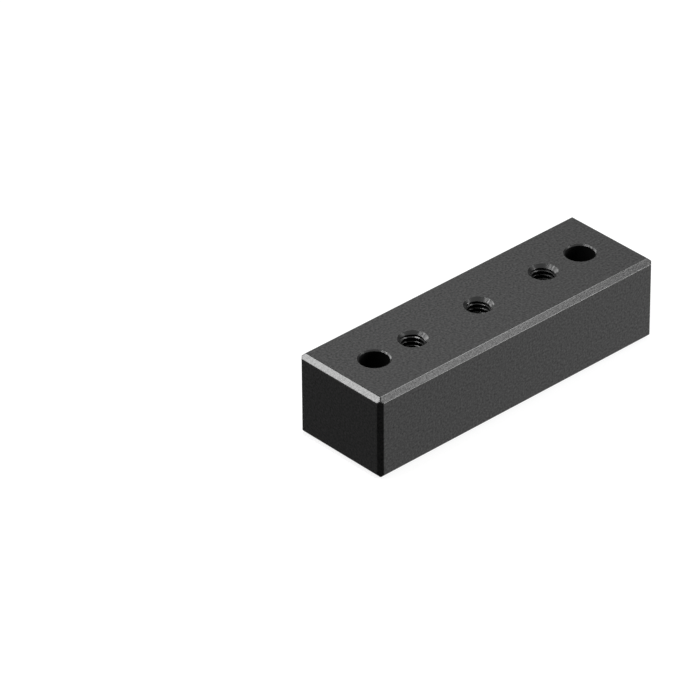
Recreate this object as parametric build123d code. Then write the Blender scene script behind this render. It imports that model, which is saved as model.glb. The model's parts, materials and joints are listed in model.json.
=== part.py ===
from build123d import *
import os

# Machined mounting block: one bar of aluminium with every edge chamfered, held down by a cap screw near each
# end and tapped through its middle to carry other parts. Millimetres. The origin is the centre of the
# underside, +X runs along the block, +Y across it and +Z up.

# Bar
block_length = 80.0
block_width = 25.0
block_height = 20.0
face_chamfer = 1.1  # leg of the 45 degree chamfer round the top and round the underside
corner_chamfer = 1.0  # leg of the 45 degree chamfer up each corner

# Cap screws, put in from below with their heads sunk in the block
screw_diameter = 6.0
head_diameter = 10.0
head_height = 6.0
end_inset = 10.0  # end face to screw axis
shank_clearance = 0.6  # clearance hole over the screw, on the diameter
head_clearance = 1.0  # counterbore over the head, on the diameter
head_recess = 0.5  # how far the head lies below the face
clearance_mouth = 0.3  # leg of the chamfer at the clearance hole's mouth
counterbore_mouth = 0.4  # leg of the chamfer at the counterbore's mouth

# Tapped holes, right through on the centre line between the screws
tapped_count = 3
thread_diameter = 6.0
thread_pitch = 1.0
mouth_margin = 0.3  # countersink rim beyond the thread's full radius
hole_wall = 2.5  # metal between a counterbore and the thread beside it

clearance_radius = (screw_diameter + shank_clearance) / 2
counterbore_radius = (head_diameter + head_clearance) / 2
counterbore_depth = head_height + head_recess
screw_x = block_length / 2 - end_inset

thread_radius = thread_diameter / 2
drill_radius = (thread_diameter - thread_pitch) / 2
mouth_radius = thread_radius + mouth_margin
last_tapped_x = screw_x - counterbore_radius - hole_wall - thread_radius
tapped_spacing = 2 * last_tapped_x / max(tapped_count - 1, 1)


def bar():
    """The bar with mitred chamfers round both faces, cut through at the corners by the upright chamfers."""
    stock = Box(
        block_length,
        block_width,
        block_height,
        align=(Align.CENTER, Align.CENTER, Align.MIN),
    )
    stock = chamfer(stock.edges().filter_by(Axis.Z, reverse=True), face_chamfer)
    outline = Rectangle(block_length, block_width)
    outline = chamfer(outline.vertices(), corner_chamfer)
    return stock & extrude(outline, block_height)


def turned(*half_section):
    """A solid turned about Z from the (radius, height) corners of its half section."""
    return revolve(Plane.XZ * make_face(Polyline(*half_section, close=True)), Axis.Z)


def screw_hole():
    """What the cap screw's hole takes away: counterbore below, clearance hole above, both mouths chamfered."""
    return turned(
        (0, 0),
        (counterbore_radius + counterbore_mouth, 0),
        (counterbore_radius, counterbore_mouth),
        (counterbore_radius, counterbore_depth),
        (clearance_radius, counterbore_depth),
        (clearance_radius, block_height - clearance_mouth),
        (clearance_radius + clearance_mouth, block_height),
        (0, block_height),
    )


def tapped_hole():
    """What a tapped hole takes away at its tap drill size, with a 90 degree countersink at each face."""
    sink_depth = mouth_radius - drill_radius
    return turned(
        (0, 0),
        (mouth_radius, 0),
        (drill_radius, sink_depth),
        (drill_radius, block_height - sink_depth),
        (mouth_radius, block_height),
        (0, block_height),
    )


def mounting_block():
    """The finished block, with both kinds of hole in one row along its centre line."""
    block = bar()
    for place in GridLocations(2 * screw_x, block_width, 2, 1):
        block -= place * screw_hole()
    for place in GridLocations(tapped_spacing, block_width, tapped_count, 1):
        block -= place * tapped_hole()
    block.label = "mounting_block"
    return block


os.makedirs("parts", exist_ok=True)
export_step(mounting_block(), "parts/mounting_block.step")
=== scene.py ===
"""Machined mounting block in black anodised aluminium: its looks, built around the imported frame.

The file is laid out as an add-on and is run as a script. Lengths in the panel are metres, the scene's unit.
"""

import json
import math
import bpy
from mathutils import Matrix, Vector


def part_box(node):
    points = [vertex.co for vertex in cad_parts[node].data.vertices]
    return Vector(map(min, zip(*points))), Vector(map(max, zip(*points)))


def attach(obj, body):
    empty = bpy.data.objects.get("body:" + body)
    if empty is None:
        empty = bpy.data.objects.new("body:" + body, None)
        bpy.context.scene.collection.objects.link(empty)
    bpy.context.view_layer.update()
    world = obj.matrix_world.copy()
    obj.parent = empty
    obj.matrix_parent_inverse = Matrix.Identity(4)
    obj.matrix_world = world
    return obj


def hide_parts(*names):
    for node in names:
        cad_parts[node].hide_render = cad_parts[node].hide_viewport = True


bl_info = {
    "name": "Machined mounting block",
    "version": (1, 0, 0),
    "blender": (4, 5, 0),
    "location": "3D View > Sidebar > Block",
    "description": "Builds a tapped and counterbored mounting block, its anodised finish and a plain studio",
    "category": "Object",
}

import bmesh
import bpy
import numpy as np
from bpy.props import FloatProperty, FloatVectorProperty, IntProperty, PointerProperty, StringProperty
from mathutils import Matrix, Vector

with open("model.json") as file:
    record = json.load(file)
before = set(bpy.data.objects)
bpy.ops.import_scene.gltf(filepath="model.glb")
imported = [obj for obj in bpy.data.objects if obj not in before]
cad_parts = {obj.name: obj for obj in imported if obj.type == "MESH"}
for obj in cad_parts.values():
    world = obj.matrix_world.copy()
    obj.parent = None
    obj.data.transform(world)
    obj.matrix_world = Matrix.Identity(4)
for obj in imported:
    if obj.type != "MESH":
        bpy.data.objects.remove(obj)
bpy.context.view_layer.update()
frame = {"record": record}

NODE = "mounting_block"
BODY = "root"
LOW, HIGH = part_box(NODE)
MOUNTS = {m["name"]: m for m in frame["record"]["mounts"]}
TAPPED = ("tapped_left", "tapped_middle", "tapped_right")
SCREW_HOLES = (("screw_hole_left", "head_seat_left"), ("screw_hole_right", "head_seat_right"))
MM = 0.001
PIECE = "block_body"
UP = np.array((0.0, 0.0, 1.0))
# The directions out of the four sides, in the order in which the outline is walked: +X, +Y, -X, -Y.
OUTWARD = np.array(((1.0, 0.0, 0.0), (0.0, 1.0, 0.0), (-1.0, 0.0, 0.0), (0.0, -1.0, 0.0)))
# The last slot carries painted shade: a darker colour on the bores and on the thread's downward flanks.
BLASTED, MILLED, SUNK, BORE_SHADE = range(4)  # material slots on the block's mesh


def mount_x(name):
    """Where a mount stands along the block, in metres."""
    return MOUNTS[name]["pos_m"][0]


def mount_radius(name):
    """The radius that the record gives a mount, in metres."""
    return MOUNTS[name]["dims"]["r_mm"] * MM


def mount_reach(name):
    """Lowest and highest end of a mount's bore, in metres."""
    half = MOUNTS[name]["dims"]["length_mm"] * MM / 2
    height = MOUNTS[name]["pos_m"][2]
    return height - half, height + half


# ---------------------------------------------------------------- sizes and colours that a user would change


class BlockShape(bpy.types.PropertyGroup):
    """Sizes of the block's edges, mouths and threads. Its length, width and height come from the frame."""

    face_chamfer: FloatProperty(
        name="Face chamfer", description="Leg of the chamfer round the top and the underside",
        default=1.1 * MM, min=0.2 * MM, max=4 * MM, precision=5, subtype="DISTANCE", unit="LENGTH",
    )
    corner_chamfer: FloatProperty(
        name="Corner chamfer", description="Leg of the chamfer up each corner",
        default=1.0 * MM, min=0.2 * MM, max=4 * MM, precision=5, subtype="DISTANCE", unit="LENGTH",
    )
    edge_round: FloatProperty(
        name="Edge round", description="Radius that blasting leaves on the edges of the chamfers",
        default=0.3 * MM, min=0.02 * MM, max=0.5 * MM, precision=5, subtype="DISTANCE", unit="LENGTH",
    )
    thread_pitch: FloatProperty(
        name="Thread pitch", description="Rise of the tapped thread in one turn",
        default=1.0 * MM, min=0.5 * MM, max=2 * MM, precision=5, subtype="DISTANCE", unit="LENGTH",
    )
    thread_depth: FloatProperty(
        name="Thread depth", description="Depth of the thread groove, from the tap drill's wall",
        default=0.5 * MM, min=0.1 * MM, max=1 * MM, precision=5, subtype="DISTANCE", unit="LENGTH",
    )
    thread_starts: FloatVectorProperty(
        name="Thread starts", description="Upward shift of the thread in each tapped hole, from the left",
        default=(-0.2 * MM, -0.35 * MM, -0.3 * MM), size=3, min=-2 * MM, max=2 * MM,
        precision=5, subtype="TRANSLATION", unit="LENGTH",
    )
    sink_margin: FloatProperty(
        name="Countersink margin", description="Countersink's rim beyond the thread's full radius",
        default=0.3 * MM, min=0.0, max=1 * MM, precision=5, subtype="DISTANCE", unit="LENGTH",
    )
    hole_mouth: FloatProperty(
        name="Screw hole mouth", description="Leg of the chamfer at the clearance hole's mouth",
        default=0.3 * MM, min=0.05 * MM, max=1 * MM, precision=5, subtype="DISTANCE", unit="LENGTH",
    )
    seat_mouth: FloatProperty(
        name="Counterbore mouth", description="Leg of the chamfer at the counterbore's mouth",
        default=0.4 * MM, min=0.05 * MM, max=1 * MM, precision=5, subtype="DISTANCE", unit="LENGTH",
    )
    seat_depth: FloatProperty(
        name="Counterbore depth", description="From the underside to the seat of the screw's head",
        default=mount_reach("head_seat_left")[1], min=1 * MM, max=12 * MM,
        precision=5, subtype="DISTANCE", unit="LENGTH",
    )


class BlockFinish(bpy.types.PropertyGroup):
    """Colours and grain of the four finishes."""

    blasted_colour: StringProperty(
        name="Blasted colour", description="Anodised colour of the bead-blasted faces, as sRGB hex",
        default="#505050",
    )
    blasted_shade: StringProperty(
        name="Blasted shade", description="Darker tone of the blasted grain, as sRGB hex",
        default="#333333",
    )
    milled_colour: StringProperty(
        name="Milled colour", description="Anodised colour of the chamfers, as sRGB hex", default="#1C1C1C",
    )
    sunk_colour: StringProperty(
        name="Countersunk colour",
        description="Anodised colour of the holes' mouths and the threads' lit flanks, as sRGB hex",
        default="#1C1C1C",
    )
    # Painted shade: the bores and the thread's downward flanks get this darker colour in place of the shade
    # inside the holes.
    bore_shade_colour: StringProperty(
        name="Bored colour",
        description="Anodised colour of the bores and of the threads' shaded flanks, as sRGB hex",
        default="#121212",
    )
    grain_size: FloatProperty(
        name="Grain size", description="Width of one dimple of the blasted grain",
        default=0.5 * MM, min=0.05 * MM, max=2 * MM, precision=5, subtype="DISTANCE", unit="LENGTH",
    )
    mark_size: FloatProperty(
        name="Mark size", description="Width of one mark that the cutter leaves on the chamfers",
        default=0.4 * MM, min=0.05 * MM, max=4 * MM, precision=5, subtype="DISTANCE", unit="LENGTH",
    )


class StudioLook(bpy.types.PropertyGroup):
    """Floor, lamps and camera of the plain studio."""

    floor_colour: StringProperty(
        name="Floor colour", description="Colour of the floor and the backdrop, as sRGB hex",
        default="#FFFFFF",
    )
    floor_glow: FloatProperty(
        name="Floor glow", description="Share of the floor's colour that no shadow takes away",
        default=0.85, min=0.0, max=1.0, subtype="FACTOR",
    )
    sheet_colour: StringProperty(
        name="Sheet colour", description="What the eye sees of the lamps on the floor, as sRGB hex",
        default="#959595",
    )
    bounce_colour: StringProperty(
        name="Bounce colour", description="What the floor throws back on to the block, as sRGB hex",
        default="#262626",
    )
    room_colour: StringProperty(
        name="Room colour", description="The even light of the room round the block, as sRGB hex",
        default="#0E0E0E",
    )
    flag_colour: StringProperty(
        name="Flag colour", description="The dark card to the block's right, as sRGB hex", default="#050505",
    )
    lamp_level: FloatProperty(
        name="Lamp level", description="One factor on every lamp",
        default=1.0, min=0.0, max=4.0, subtype="FACTOR",
    )
    floor_size: FloatProperty(
        name="Floor size", description="Side of the square floor",
        default=6.0, min=1.0, max=20.0, subtype="DISTANCE", unit="LENGTH",
    )
    focal_length: FloatProperty(
        name="Focal length", description="Camera's focal length in millimetres, on a 36 mm sensor",
        default=292.6, min=20.0, max=400.0,
    )
    azimuth: FloatProperty(
        name="Azimuth", description="Turn of the camera round the block, from straight in front",
        default=math.radians(-42.49), subtype="ANGLE", unit="ROTATION",
    )
    elevation: FloatProperty(
        name="Elevation", description="Rise of the camera above the floor, as an angle",
        default=math.radians(33.21), subtype="ANGLE", unit="ROTATION",
    )
    roll: FloatProperty(
        name="Roll", description="Turn of the camera about its own line of sight",
        default=math.radians(-0.49), subtype="ANGLE", unit="ROTATION",
    )
    distance: FloatProperty(
        name="Distance", description="From the point aimed at to the camera",
        default=1.202, min=0.2, max=10.0, precision=4, subtype="DISTANCE", unit="LENGTH",
    )
    aim: FloatVectorProperty(
        name="Aim", description="Point that the camera looks at",
        default=(-20.87 * MM, 17.42 * MM, 9.76 * MM), size=3,
        precision=5, subtype="TRANSLATION", unit="LENGTH",
    )


# ---------------------------------------------------------------- surfaces


NORMAL_LAYER = "exact_normal"
MERGE = 0.002 * MM  # points nearer than this are one
SHARP_ANGLE = math.radians(32)  # edges that turn more than this stay sharp
FACE_RINGS = 4  # rings of cells from a hole's rim to the border of its part of the face
RING_EASE = 1.5  # above one, the rings crowd towards the rim
WALL_ROWS = 8  # rows of cells down a side of the block
MILLED_LEAN = (0.2, 0.98)  # upright part of the normals between which a cell belongs to a face chamfer
HOLE_START = -math.pi / 4  # angle of a hole's first column of points, at the corner of its part of the face
ROOT_SHARE = 1 / 8  # the thread's flat root, as a share of its pitch
FLANK_LEAN = math.radians(30)
FLANK_KNOTS = np.array((0.34, 0.67, 1.0))  # shares of a flank at which the mesh has a line
RISE_SHARE = 0.01  # share of the thread's depth by which a cell widens if it faces up


def unit(vectors):
    """Each vector divided by its length."""
    return vectors / np.linalg.norm(vectors, axis=-1, keepdims=True)


def between(first, second, share):
    """The unit vector that lies a share of the way from the first to the second, along the chord."""
    share = np.asarray(share)[..., None]
    return unit(first * (1 - share) + second * share)


def stacked(*parts):
    """Arrays spread to one shape and stacked along a new last axis."""
    return np.stack(np.broadcast_arrays(*parts), axis=-1)


def round_angles(around):
    """The angles once round a hole in even steps, from HOLE_START and back to it."""
    return HOLE_START + np.linspace(0, 2 * math.pi, around + 1)


def flat_inset(shape):
    """From a side of the block to its flat top: the chamfer's leg and what the rounding takes beyond it."""
    return shape.face_chamfer + (math.sqrt(2) - 1) * shape.edge_round


def cell_corners(grid):
    """The values at the four corners of each cell of a grid."""
    return np.stack((grid[:-1, :-1], grid[1:, :-1], grid[1:, 1:], grid[:-1, 1:]), axis=2)


class Skin:
    """Grids of points gathered into one closed mesh."""

    def __init__(self):
        self.points = []
        self.normals = []
        self.quads = []
        self.slots = []
        self.count = 0

    def add(self, points, slots, normals):
        """Adds a grid of rows by columns. A cell's corners run down its row, across, and back up.

        slots is one material slot, or one for each cell. normals is one for each corner of each cell, where
        zero stands for the mesh's own.
        """
        rows, cols = points.shape[:2]
        index = np.arange(rows * cols).reshape(rows, cols) + self.count
        cells = cell_corners(index)
        self.quads.append(cells.reshape(-1, 4))
        self.slots.append(np.broadcast_to(slots, cells.shape[:2]).reshape(-1))
        self.points.append(points.reshape(-1, 3))
        self.normals.append(np.broadcast_to(normals, cells.shape + (3,)).reshape(-1, 3))
        self.count += rows * cols

    def build(self, name):
        """Writes the mesh: points nearer than MERGE become one, and cells that close up are dropped."""
        points = np.concatenate(self.points)
        quads = np.concatenate(self.quads)
        mesh = bpy.data.meshes.new(name)
        mesh.vertices.add(len(points))
        mesh.vertices.foreach_set("co", points.astype(np.float32).ravel())
        mesh.loops.add(quads.size)
        mesh.loops.foreach_set("vertex_index", quads.astype(np.int32).ravel())
        mesh.polygons.add(len(quads))
        mesh.polygons.foreach_set("loop_start", np.arange(0, quads.size, 4, dtype=np.int32))
        mesh.polygons.foreach_set("material_index", np.concatenate(self.slots).astype(np.int32))
        mesh.update(calc_edges=True)
        kept = mesh.attributes.new(NORMAL_LAYER, "FLOAT_VECTOR", "CORNER")
        kept.data.foreach_set("vector", np.concatenate(self.normals).astype(np.float32).ravel())
        work = bmesh.new()
        work.from_mesh(mesh)
        bmesh.ops.remove_doubles(work, verts=work.verts, dist=MERGE)
        bmesh.ops.dissolve_degenerate(work, edges=work.edges, dist=MERGE)
        bmesh.ops.recalc_face_normals(work, faces=work.faces)
        open_edges = sum(not e.is_manifold for e in work.edges)
        work.to_mesh(mesh)
        work.free()
        if open_edges:
            raise RuntimeError(f"{name}: {open_edges} edges are open or shared by more than two faces")
        return mesh


def outline_columns(side_samples, end_samples, fan):
    """The stations round the block's outline, as arrays.

    Each of the four sides is walked through its samples, from -1 to 1, and each corner after it in two fans
    of columns, one at either end of the corner's chamfer. Returns the side, the next side, the share of the
    turn from one to the next, the place along the side, and whether the station stands at the next side's
    near end.
    """
    sides = []
    for side in range(4):
        samples = end_samples if side % 2 == 0 else side_samples
        steps = np.arange(1, fan + 1) / (2 * fan)
        place = np.concatenate((samples, np.ones(fan), -np.ones(fan)))
        share = np.concatenate((np.zeros(len(samples)), steps, 0.5 + steps - steps[0]))
        after = np.concatenate((np.zeros(len(samples) + fan, bool), np.ones(fan, bool)))
        sides.append(np.stack((np.full(len(place), side), share, place, after), axis=1))
    table = np.concatenate(sides)
    table = np.concatenate((table, table[:1]))
    side = table[:, 0].astype(int)
    return side, (side + 1) % 4, table[:, 1], table[:, 2], table[:, 3].astype(bool)


def block_skin(skin, shape, side_samples, end_samples, fan):
    """The four sides, the chamfers and all their rounded edges.

    The block is the solid that a ball of the edge radius fills as its centre runs over a smaller block with
    the same slopes. So a point is the smaller block's point plus the radius times the unit normal, and at
    an edge or corner of the smaller block the normal turns from one face's to the next.
    """
    # The legs are those of the smaller block's chamfers, measured from the block's own sides.
    radius = shape.edge_round
    chamfer = flat_inset(shape)
    corner = shape.corner_chamfer + math.sqrt(2) * radius
    half = np.array(((HIGH.x - LOW.x) / 2, (HIGH.y - LOW.y) / 2))
    side, following, share, place, after = outline_columns(side_samples, end_samples, fan)
    along = np.roll(OUTWARD, -1, axis=0)
    reach = np.tile(half, 2)
    width = np.roll(reach, -1)

    def core(inset, height):
        """The smaller block's outline at an inset from the sides, with its corners cut off."""
        leg = max(0.0, corner - 2 * inset)
        near = (reach - inset)[:, None] * OUTWARD
        run = (width - inset - leg)[:, None] * along
        here = near[side] + run[side] * place[:, None]
        there = near[following] + run[following] * place[:, None]
        return np.where(after[:, None], there, here) + UP * height

    flat = np.broadcast_to(UP, (len(side), 3))
    slope = unit(OUTWARD + UP)
    mitre = between(slope[side], slope[following], share)
    upright = unit(OUTWARD[side] + OUTWARD[following])
    first_half = share[:, None] <= 0.5

    def through_corner(faces):
        """Normals that turn from a side's face to the upright chamfer and on to the next side's face."""
        coming = between(faces[side], upright, np.minimum(2 * share, 1))
        going = between(upright, faces[following], np.maximum(2 * share - 1, 0))
        return np.where(first_half, coming, going)

    cut_through = through_corner(slope)
    walls = through_corner(OUTWARD)
    top = HIGH.z - radius
    meeting = corner / 2  # the inset at which the upright chamfer cuts through the mitre
    steps = np.linspace(0, 1, fan + 1)
    stages = ((chamfer, flat, mitre), (meeting, mitre, cut_through), (radius, cut_through, walls))
    upper_points = []
    upper_normals = []
    for inset, start, end in stages:
        spine = core(inset, top - (chamfer - inset))
        for step in steps:
            normal = between(start, end, np.full(len(side), step))
            upper_points.append(spine + radius * normal)
            upper_normals.append(normal)
    upper_points = np.array(upper_points)
    upper_normals = np.array(upper_normals)
    flip = np.array((1.0, 1.0, -1.0))
    lower_points = upper_points[::-1] * flip + UP * (LOW.z + HIGH.z)
    lower_normals = upper_normals[::-1] * flip
    rows = np.linspace(0, 1, WALL_ROWS + 1)[1:-1, None, None]
    wall_points = upper_points[-1] * (1 - rows) + lower_points[0] * rows
    wall_normals = np.broadcast_to(walls, wall_points.shape)
    points = np.concatenate((upper_points, wall_points, lower_points))
    normals = np.concatenate((upper_normals, wall_normals, lower_normals))
    lean = cell_corners(np.abs(normals[..., 2])).mean(axis=2)
    cut = (lean > MILLED_LEAN[0]) & (lean < MILLED_LEAN[1])
    skin.add(points, np.where(cut, MILLED, BLASTED), cell_corners(normals))


def face_cell(skin, height, normal, left, right, half_width, hole_x, rim, segments):
    """An oblong part of the top or the underside, with a round hole in it.

    A point is the rim's point at an angle, moved a share of the way to the oblong's border. Both are
    divided into four runs of the same number of segments, from one corner round to the same corner.
    """
    share = np.arange(segments) / segments
    low = np.full(segments, -half_width)
    border_x = np.concatenate((
        np.full(segments, right), right + (left - right) * share,
        np.full(segments, left), left + (right - left) * share, (right,),
    ))
    border_y = np.concatenate((
        low + 2 * half_width * share, -low, -low - 2 * half_width * share, low, (-half_width,),
    ))
    angle = round_angles(4 * segments)
    part = np.linspace(0, 1, FACE_RINGS + 1)[:, None] ** RING_EASE
    x = (hole_x + rim * np.cos(angle)) * (1 - part) + border_x * part
    y = rim * np.sin(angle) * (1 - part) + border_y * part
    skin.add(stacked(x, y, height), BLASTED, normal)


def turned(skin, centre_x, profile, slots, around):
    """A profile of (radius, height) points, from the underside up, turned about a hole's upright axis.

    At an angle a normal is square to its stretch of the profile and points to the axis's side.
    """
    angle = round_angles(around)
    radius, height = np.array(profile).T[:, :, None]
    points = stacked(centre_x + radius * np.cos(angle), radius * np.sin(angle), height)
    widening = np.diff(radius, axis=0)
    rise = np.diff(height, axis=0)
    normal = unit(stacked(-rise * np.cos(angle), -rise * np.sin(angle), widening))
    left, right = normal[:, :-1], normal[:, 1:]
    skin.add(points, np.array(slots)[:, None], np.stack((left, left, right, right), axis=2))


def thread_form(pitch, depth):
    """The heights that a thread's flat root and one of its flanks take up."""
    return pitch * ROOT_SHARE, depth * math.tan(FLANK_LEAN)


def thread_radius(height, pitch, minor, depth):
    """Radius of a tapped hole's wall at a height along its helix.

    In one pitch the wall keeps the tap drill's radius over the crest, falls outwards down a flank that
    leans 30 degrees from square, keeps the major radius over a root of an eighth of the pitch, and comes
    back up the other flank.
    """
    root, flank = thread_form(pitch, depth)
    from_root = np.abs((height / pitch + 0.5) % 1 - 0.5) * pitch
    return minor + depth * np.clip(1 - (from_root - root / 2) / flank, 0, 1)


def tapped_bore(skin, centre_x, minor, thread_start, shape, around):
    """A tapped hole right through, with a 90 degree countersink at each face.

    The two parameters are the angle and the height at the helix's start. The height rises by one pitch
    a turn and stops at the block's faces. The radius is the larger of the thread's and the countersinks'.
    Cells of the countersinks get a cone's exact normals, and the thread's own are worked out from the mesh.
    """
    pitch = shape.thread_pitch
    depth = shape.thread_depth
    mouth = minor + depth + shape.sink_margin
    root, flank = thread_form(pitch, depth)
    knots = np.concatenate((
        (-root / 2, root / 2),
        root / 2 + flank * FLANK_KNOTS,
        (pitch / 2,),
        pitch - root / 2 - flank * FLANK_KNOTS[::-1],
    ))
    turns = np.arange(math.floor(LOW.z / pitch) - 2, math.ceil(HIGH.z / pitch) + 2)
    start = (turns[:, None] * pitch + knots[None, :]).ravel() + thread_start
    turn = np.linspace(0, 1, around + 1)
    helix = start[:, None] + pitch * turn[None, :]
    height = np.clip(helix, LOW.z, HIGH.z)
    thread = thread_radius(height - pitch * turn - thread_start, pitch, minor, depth)
    sink = np.maximum(mouth - (HIGH.z - height), mouth - (height - LOW.z))
    radius = np.maximum(thread, sink)
    angle = round_angles(around)
    points = stacked(centre_x + radius * np.cos(angle), radius * np.sin(angle), height)
    widens = radius[1:] > radius[:-1] + RISE_SHARE * depth
    # Flanks that face up shine as the countersinks do. The rest of the thread is as dull as a bore and gets
    # its darker colour, as painted shade in the grooves under the ridges.
    sunk = sink >= thread
    under_sink = sunk[1:, :-1] & sunk[1:, 1:]
    faces_up = (widens[:, :-1] & widens[:, 1:]) | under_sink
    in_cone = under_sink & sunk[:-1, :-1] & sunk[:-1, 1:]
    cone = unit(stacked(-np.cos(angle), -np.sin(angle), np.sign(height - (LOW.z + HIGH.z) / 2)))
    normals = np.where(in_cone[:, :, None, None], cell_corners(cone), 0.0)
    skin.add(points, np.where(faces_up, SUNK, BORE_SHADE), normals)
    return mouth


def replace_normals(mesh):
    """Shades the mesh smooth up to SHARP_ANGLE, and gives the skin's corners their exact normals.

    A corner whose exact normal is zero keeps the normal that its own smooth faces give it.
    """
    mesh.polygons.foreach_set("use_smooth", np.ones(len(mesh.polygons), bool))
    mesh.set_sharp_from_angle(angle=SHARP_ANGLE)
    normals = np.zeros(len(mesh.loops) * 3, np.float32)
    mesh.attributes[NORMAL_LAYER].data.foreach_get("vector", normals)
    mesh.normals_split_custom_set(normals.reshape(-1, 3))
    mesh.attributes.remove(mesh.attributes[NORMAL_LAYER])


class BLOCK_OT_body(bpy.types.Operator):
    """Builds the block with its chamfers, tapped holes and counterbored screw holes as one closed mesh"""

    bl_idname = "block.body"
    bl_label = "Block"

    segments: IntProperty(
        name="Segments", description="Segments on a quarter of a hole", default=24, min=6, max=48
    )
    edge_steps: IntProperty(
        name="Edge steps", description="Steps across a rounded edge", default=4, min=2, max=12
    )

    def execute(self, context):
        shape = context.scene.block_shape
        skin = Skin()
        around = 4 * self.segments
        half_length = (HIGH.x - LOW.x) / 2 - flat_inset(shape)
        half_width = (HIGH.y - LOW.y) / 2 - flat_inset(shape)
        holes = []
        for name, thread_start in zip(TAPPED, shape.thread_starts):
            mouth = tapped_bore(skin, mount_x(name), mount_radius(name), thread_start, shape, around)
            holes.append((mount_x(name), mouth, mouth))
        for hole, seat in SCREW_HOLES:
            radius = mount_radius(hole)
            bore = mount_radius(seat)
            top_mouth = radius + shape.hole_mouth
            low_mouth = bore + shape.seat_mouth
            seat_height = LOW.z + shape.seat_depth
            profile = (
                (low_mouth, LOW.z), (bore, LOW.z + shape.seat_mouth), (bore, seat_height),
                (radius, seat_height), (radius, HIGH.z - shape.hole_mouth), (top_mouth, HIGH.z),
            )
            turned(skin, mount_x(hole), profile, (SUNK, BORE_SHADE, BORE_SHADE, BORE_SHADE, SUNK), around)
            holes.append((mount_x(hole), low_mouth, top_mouth))
        holes.sort()
        middles = [(a[0] + b[0]) / 2 for a, b in zip(holes, holes[1:])]
        borders = [-half_length, *middles, half_length]
        for (x, low_mouth, top_mouth), left, right in zip(holes, borders, borders[1:]):
            face_cell(skin, HIGH.z, UP, left, right, half_width, x, top_mouth, self.segments)
            face_cell(skin, LOW.z, -UP, left, right, half_width, x, low_mouth, self.segments)
        share = np.arange(self.segments) / self.segments
        runs = [left + (right - left) * share for left, right in zip(borders, borders[1:])]
        side_samples = np.concatenate((*runs, (half_length,))) / half_length
        end_samples = np.linspace(-1, 1, self.segments + 1)
        # One row of samples serves both long sides, though they are walked in opposite directions, because
        # the holes lie evenly about the middle.
        block_skin(skin, shape, side_samples, end_samples, self.edge_steps)
        mesh = skin.build(PIECE)
        replace_normals(mesh)
        block = bpy.data.objects.new(PIECE, mesh)
        context.scene.collection.objects.link(block)
        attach(block, BODY)
        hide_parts(NODE)
        return {"FINISHED"}


# ---------------------------------------------------------------- finish


# How rough each surface is, and how much of the lamps its dyed oxide mirrors.
BLASTED_SHINE = {"Roughness": 0.6, "Specular IOR Level": 0.02}
MILLED_SHINE = {"Specular IOR Level": 0.35}
MILLED_ROUGHNESS = {"To Min": 0.09, "To Max": 0.17}
SUNK_SHINE = {"Roughness": 0.24, "Specular IOR Level": 0.35}
BORED_SHINE = {"Roughness": 0.4, "Specular IOR Level": 0.04}
# Octaves of the noise, the stretch of it that counts as from lowest to highest, and the relief it is given.
GRAIN_DETAIL = 3.0
GRAIN_STRETCH = {"From Min": 0.3, "From Max": 0.7}
GRAIN_RELIEF = {"Strength": 0.5, "Distance": 0.02 * MM}
MARK_DETAIL = 2.0
MARK_STRETCH = {"From Min": 0.35, "From Max": 0.65}
MARK_RELIEF = {"Strength": 0.32, "Distance": 0.03 * MM}
OCTAVE_SHARE = 0.6  # strength of each octave of the noise beside the one before it


def linear(colour):
    """An sRGB hex colour as linear red, green, blue and alpha, by the sRGB standard's curve."""
    channels = np.array([int(colour[i:i + 2], 16) for i in (1, 3, 5)]) / 255
    low = channels / 12.92
    high = ((channels + 0.055) / 1.055) ** 2.4
    return (*np.where(channels <= 0.04045, low, high), 1.0)


def node(tree, kind, inputs=(), **settings):
    """Adds a node with its settings. inputs is a mapping of socket name or number to a value or a link."""
    made = tree.nodes.new(kind)
    for key, value in settings.items():
        setattr(made, key, value)
    for key, value in dict(inputs).items():
        if isinstance(value, bpy.types.NodeSocket):
            tree.links.new(value, made.inputs[key])
        else:
            made.inputs[key].default_value = value
    return made


def new_material(name):
    """A material with an empty node tree."""
    material = bpy.data.materials.new(name)
    material.use_nodes = True
    material.node_tree.nodes.clear()
    return material, material.node_tree


def grain_pattern(tree, size, detail):
    """Noise in the block's own coordinates, of dimples of a size in metres."""
    # Blasting leaves dimples of about 0.1 mm. The grain is made coarser, so that it shows at arm's length.
    place = node(tree, "ShaderNodeTexCoord").outputs["Object"]
    noise = node(tree, "ShaderNodeTexNoise", {
        "Vector": place, "Scale": 1 / size, "Detail": detail, "Roughness": OCTAVE_SHARE,
    })
    return noise.outputs[0]


def blasted_anodising(finish):
    """Bead-blasted aluminium under black dye anodising: dark neutral grey, matt, with a fine even grain."""
    material, tree = new_material("bead_blasted_black_anodising")
    grain = grain_pattern(tree, finish.grain_size, GRAIN_DETAIL)
    tone = node(tree, "ShaderNodeMapRange", {"Value": grain, **GRAIN_STRETCH})
    # For colours, the mix node's factor is its socket 0, its two colours are 6 and 7, and its result is 2.
    colour = node(tree, "ShaderNodeMix", {
        0: tone.outputs[0], 6: linear(finish.blasted_shade), 7: linear(finish.blasted_colour),
    }, data_type="RGBA")
    bump = node(tree, "ShaderNodeBump", {"Height": grain, **GRAIN_RELIEF})
    shader = node(tree, "ShaderNodeBsdfPrincipled", {
        "Base Color": colour.outputs[2], "Normal": bump.outputs[0], **BLASTED_SHINE,
    })
    node(tree, "ShaderNodeOutputMaterial", {"Surface": shader.outputs[0]})
    return material


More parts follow.
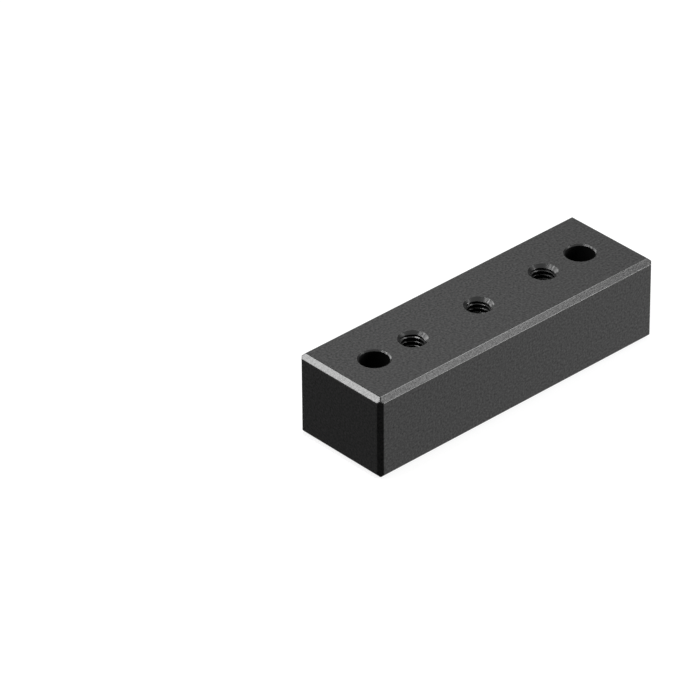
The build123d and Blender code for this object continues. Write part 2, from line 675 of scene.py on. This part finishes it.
def milled_anodising(finish):
    """Aluminium chamfered with a sharp cutter, then anodised black: glossy, and uneven from mark to mark."""
    material, tree = new_material("milled_black_anodising")
    marks = grain_pattern(tree, finish.mark_size, MARK_DETAIL)
    gloss = node(tree, "ShaderNodeMapRange", {"Value": marks, **MARK_STRETCH, **MILLED_ROUGHNESS})
    bump = node(tree, "ShaderNodeBump", {"Height": marks, **MARK_RELIEF})
    shader = node(tree, "ShaderNodeBsdfPrincipled", {
        "Base Color": linear(finish.milled_colour), "Roughness": gloss.outputs[0],
        "Normal": bump.outputs[0], **MILLED_SHINE,
    })
    node(tree, "ShaderNodeOutputMaterial", {"Surface": shader.outputs[0]})
    return material


def sunk_anodising(finish):
    """Countersunk aluminium, anodised black: rougher than the milled chamfers, with a broad soft gloss."""
    material, tree = new_material("countersunk_black_anodising")
    shader = node(tree, "ShaderNodeBsdfPrincipled", {
        "Base Color": linear(finish.sunk_colour), **SUNK_SHINE,
    })
    node(tree, "ShaderNodeOutputMaterial", {"Surface": shader.outputs[0]})
    return material


def bored_anodising_painted_shade(finish):
    """Drilled and tapped aluminium, anodised black: nearly nothing shines, and its colour is darker than the
    other anodising, as painted shade inside the holes and in the thread's grooves.
    """
    material, tree = new_material("bored_black_anodising")
    shader = node(tree, "ShaderNodeBsdfPrincipled", {
        "Base Color": linear(finish.bore_shade_colour), **BORED_SHINE,
    })
    node(tree, "ShaderNodeOutputMaterial", {"Surface": shader.outputs[0]})
    return material


class BLOCK_OT_finish(bpy.types.Operator):
    """Gives the block's faces and its cut edges their anodised finishes"""

    bl_idname = "block.finish"
    bl_label = "Finish"

    def execute(self, context):
        finish = context.scene.block_finish
        block = bpy.data.objects.get(PIECE)
        if block is None:
            raise RuntimeError("build the block before its finish")
        finishes = {
            BLASTED: blasted_anodising(finish), MILLED: milled_anodising(finish),
            SUNK: sunk_anodising(finish), BORE_SHADE: bored_anodising_painted_shade(finish),
        }
        slots = block.data.materials
        while len(slots) < len(finishes):
            slots.append(None)
        for index, material in finishes.items():
            slots[index] = material
        return {"FINISHED"}


# ---------------------------------------------------------------- stage


LAMPS = (
    # name, directions of the strip's two ends from the block, distance, breadth, power in watts
    ("overhead", (-0.40, 0.12, 0.91), (-0.16, 0.12, 0.98), 0.17, 0.05, 0.145),
    ("top_edge", (0.54, -0.40, 0.74), (0.54, 0.30, 0.79), 1.0, 0.14, 3.1),
    ("end_edge", (-0.49, 0.66, 0.57), (-0.60, 0.54, 0.59), 1.0, 0.20, 1.62),
    ("mouth_side", (-0.43, 0.77, 0.47), (0.05, 0.99, 0.10), 1.0, 0.14, 1.6),
    ("mouth_top", (-0.62, 0.40, 0.67), (-0.62, 0.14, 0.77), 1.0, 0.07, 1.0),
    ("long_edge", (0.50, -0.60, 0.63), (0.66, -0.47, 0.58), 1.0, 0.05, 0.25),
    ("low_edge", (0.55, -0.69, 0.45), (0.55, -0.82, 0.08), 1.0, 0.14, 2.5),
    ("side", (0.64, -0.75, 0.14), (0.83, -0.54, 0.14), 1.0, 0.26, 11.3),
)
FLAG_FOOT = ((0.60, -0.28), (0.60, 0.20))  # where the lower edge of the dark card starts and ends
FLAG_HEIGHT = 0.34  # of its upper edge
FLOOR_GAP = 0.02 * MM  # the floor lies this far under the block, so that the two faces don't share a plane
SENSOR_WIDTH = 36.0  # millimetres
CLIP_START = 0.01
CLIP_END = 20.0


def seen_by_eye(tree):
    """One where a ray comes from the eye, straight or by way of a gloss or a glass, and zero elsewhere."""
    rays = node(tree, "ShaderNodeLightPath").outputs
    straight = rays["Is Camera Ray"]
    for kind in ("Is Glossy Ray", "Is Transmission Ray"):
        either = node(tree, "ShaderNodeMath", {0: straight, 1: rays[kind]}, operation="MAXIMUM")
        straight = either.outputs[0]
    return straight


def floor_material(studio):
    """Matt white sheet: the eye sees it white, with the block's soft shadow, and it throws little back."""
    material, tree = new_material("matt_white_sheet")
    seen = seen_by_eye(tree)
    glow = node(tree, "ShaderNodeEmission", {
        "Color": linear(studio.floor_colour), "Strength": studio.floor_glow,
    })
    sheet = node(tree, "ShaderNodeBsdfDiffuse", {"Color": linear(studio.sheet_colour)})
    bright = node(tree, "ShaderNodeAddShader", {0: glow.outputs[0], 1: sheet.outputs[0]})
    dull = node(tree, "ShaderNodeBsdfDiffuse", {"Color": linear(studio.bounce_colour)})
    mix = node(tree, "ShaderNodeMixShader", {0: seen, 1: dull.outputs[0], 2: bright.outputs[0]})
    node(tree, "ShaderNodeOutputMaterial", {"Surface": mix.outputs[0]})
    return material


def flag_material(studio):
    """Matt black card: nothing but a dark shape in the gloss of the holes' rims."""
    material, tree = new_material("matt_black_card")
    card = node(tree, "ShaderNodeBsdfDiffuse", {"Color": linear(studio.flag_colour)})
    node(tree, "ShaderNodeOutputMaterial", {"Surface": card.outputs[0]})
    return material


def stage_sheet(name, corners, material):
    """A flat sheet of the stage with four corners."""
    mesh = bpy.data.meshes.new(name)
    mesh.from_pydata(corners, [], [(0, 1, 2, 3)])
    mesh.materials.append(material)
    sheet = bpy.data.objects.new(name, mesh)
    bpy.context.scene.collection.objects.link(sheet)
    return sheet


def studio_world(studio):
    """A white backdrop to the eye, and a dim even room to the block."""
    world = bpy.data.worlds.new("plain_room")
    world.use_nodes = True
    tree = world.node_tree
    tree.nodes.clear()
    room = node(tree, "ShaderNodeBackground", {"Color": linear(studio.room_colour)})
    backdrop = node(tree, "ShaderNodeBackground", {"Color": linear(studio.floor_colour)})
    mix = node(tree, "ShaderNodeMixShader", {
        0: seen_by_eye(tree), 1: room.outputs[0], 2: backdrop.outputs[0],
    })
    node(tree, "ShaderNodeOutputWorld", {"Surface": mix.outputs[0]})
    return world


def softbox(name, first, second, distance, breadth, power, aim):
    """An oblong area lamp between two directions from the aim, at a distance, that faces the aim."""
    first = aim + Vector(first).normalized() * distance
    second = aim + Vector(second).normalized() * distance
    middle = (first + second) / 2
    across = (second - first).normalized()
    away = (middle - aim).normalized()
    data = bpy.data.lights.new(name, "AREA")
    data.shape = "RECTANGLE"
    data.size = (second - first).length
    data.size_y = breadth
    data.energy = power
    lamp = bpy.data.objects.new(name, data)
    turn = Matrix((across, away.cross(across), away)).transposed().to_4x4()
    lamp.matrix_world = Matrix.Translation(middle) @ turn
    lamp.visible_camera = False
    bpy.context.scene.collection.objects.link(lamp)


def long_lens(studio):
    """A camera that looks at the aim from its azimuth, elevation and distance, turned by its roll."""
    data = bpy.data.cameras.new("long_lens")
    data.sensor_width = SENSOR_WIDTH
    data.lens = studio.focal_length
    data.clip_start = CLIP_START
    data.clip_end = CLIP_END
    camera = bpy.data.objects.new("long_lens", data)
    turn = Matrix.Rotation(studio.azimuth, 4, "Z") @ Matrix.Rotation(math.pi / 2 - studio.elevation, 4, "X")
    back = Matrix.Translation((0, 0, studio.distance)) @ Matrix.Rotation(studio.roll, 4, "Z")
    camera.matrix_world = Matrix.Translation(Vector(studio.aim)) @ turn @ back
    bpy.context.scene.collection.objects.link(camera)
    return camera


class BLOCK_OT_studio(bpy.types.Operator):
    """Sets the block on a plain pale floor under soft lamps, with a long lens on it"""

    bl_idname = "block.studio"
    bl_label = "Studio"

    def execute(self, context):
        scene = context.scene
        studio = scene.block_studio
        if not studio.floor_size > (HIGH - LOW).length:
            raise RuntimeError("the floor is smaller than the block")
        half = studio.floor_size / 2
        ground = LOW.z - FLOOR_GAP
        corners = (
            (-half, -half, ground), (half, -half, ground), (half, half, ground), (-half, half, ground),
        )
        stage_sheet("studio_floor", corners, floor_material(studio))
        near, far = FLAG_FOOT
        corners = ((*near, ground), (*far, ground), (*far, FLAG_HEIGHT), (*near, FLAG_HEIGHT))
        flag = stage_sheet("studio_flag", corners, flag_material(studio))
        flag.visible_camera = False
        scene.world = studio_world(studio)
        centre = (LOW + HIGH) / 2
        for name, first, second, distance, breadth, power in LAMPS:
            softbox(name, first, second, distance, breadth, power * studio.lamp_level, centre)
        scene.camera = long_lens(studio)
        scene.view_settings.view_transform = "Standard"
        return {"FINISHED"}


# ---------------------------------------------------------------- panel and run


class BLOCK_PT_panel(bpy.types.Panel):
    """The block's pieces, in the order in which they are made"""

    bl_label = "Mounting block"
    bl_idname = "BLOCK_PT_panel"
    bl_space_type = "VIEW_3D"
    bl_region_type = "UI"
    bl_category = "Block"

    def draw(self, context):
        layout = self.layout
        for step, group in (
            ("block.body", context.scene.block_shape),
            ("block.finish", context.scene.block_finish),
            ("block.studio", context.scene.block_studio),
        ):
            box = layout.box()
            for key in group.__annotations__:
                box.prop(group, key)
            box.operator(step)


CLASSES = (
    BlockShape, BlockFinish, StudioLook, BLOCK_OT_body, BLOCK_OT_finish, BLOCK_OT_studio, BLOCK_PT_panel,
)


def register():
    """Registers the classes and hangs the three groups of settings on the scene."""
    for item in CLASSES:
        bpy.utils.register_class(item)
    bpy.types.Scene.block_shape = PointerProperty(type=BlockShape)
    bpy.types.Scene.block_finish = PointerProperty(type=BlockFinish)
    bpy.types.Scene.block_studio = PointerProperty(type=StudioLook)


def unregister():
    """Takes off what register put on."""
    del bpy.types.Scene.block_studio
    del bpy.types.Scene.block_finish
    del bpy.types.Scene.block_shape
    for item in reversed(CLASSES):
        bpy.utils.unregister_class(item)


def main():
    """Makes the block, its finish and the studio."""
    register()
    bpy.ops.block.body()
    bpy.ops.block.finish()
    bpy.ops.block.studio()


if __name__ == "__main__":
    main()
